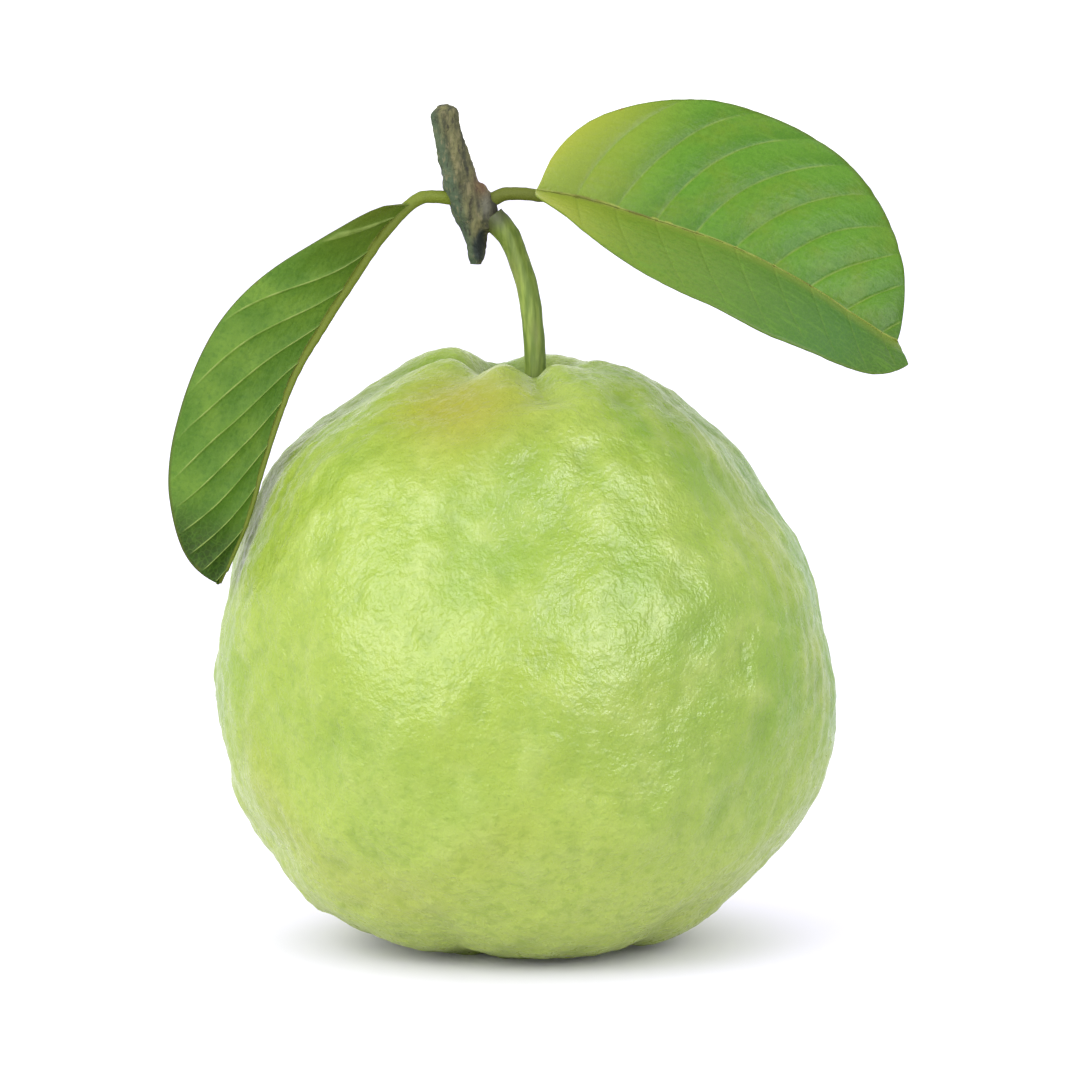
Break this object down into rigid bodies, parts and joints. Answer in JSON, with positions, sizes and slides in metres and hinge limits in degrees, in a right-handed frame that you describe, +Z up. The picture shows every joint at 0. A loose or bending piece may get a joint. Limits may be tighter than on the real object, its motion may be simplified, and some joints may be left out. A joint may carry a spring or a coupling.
{
  "type": "guava",
  "caption": "Ripe green guava standing on its blossom end, with its stalk, a cut piece of woody twig and its leaves, for a fruit bowl, a market stall or a still life.",
  "frame": {"origin": "on the surface that the fruit rests on, in the middle of the whole thing's box", "axes": "+Z up along the fruit's axis, from the blossom end to the stalk; -Y towards the front, which is the side that the picture shows; +X towards the leaf that reaches out"},
  "size_m": [0.1062, 0.0918, 0.1238],
  "materials": {
    "fruit_skin": "waxy yellow-green skin, satin, finely pebbled with paler mottling",
    "dried_calyx": "dry, brown and papery, matt",
    "green_stalk": "green bark, finely mottled, satin",
    "bark": "grey-brown bark with fine cracks, matt",
    "leaf": "leathery green leaf with paler veins, satin above and matt beneath"
  },
  "bodies": {
    "root": {"fruit": "fruit_skin", "calyx": "dried_calyx", "fruit_stalk": "green_stalk", "twig": "bark", "leaf_left": "leaf", "leaf_right": "leaf"}
  },
  "joints": []
}
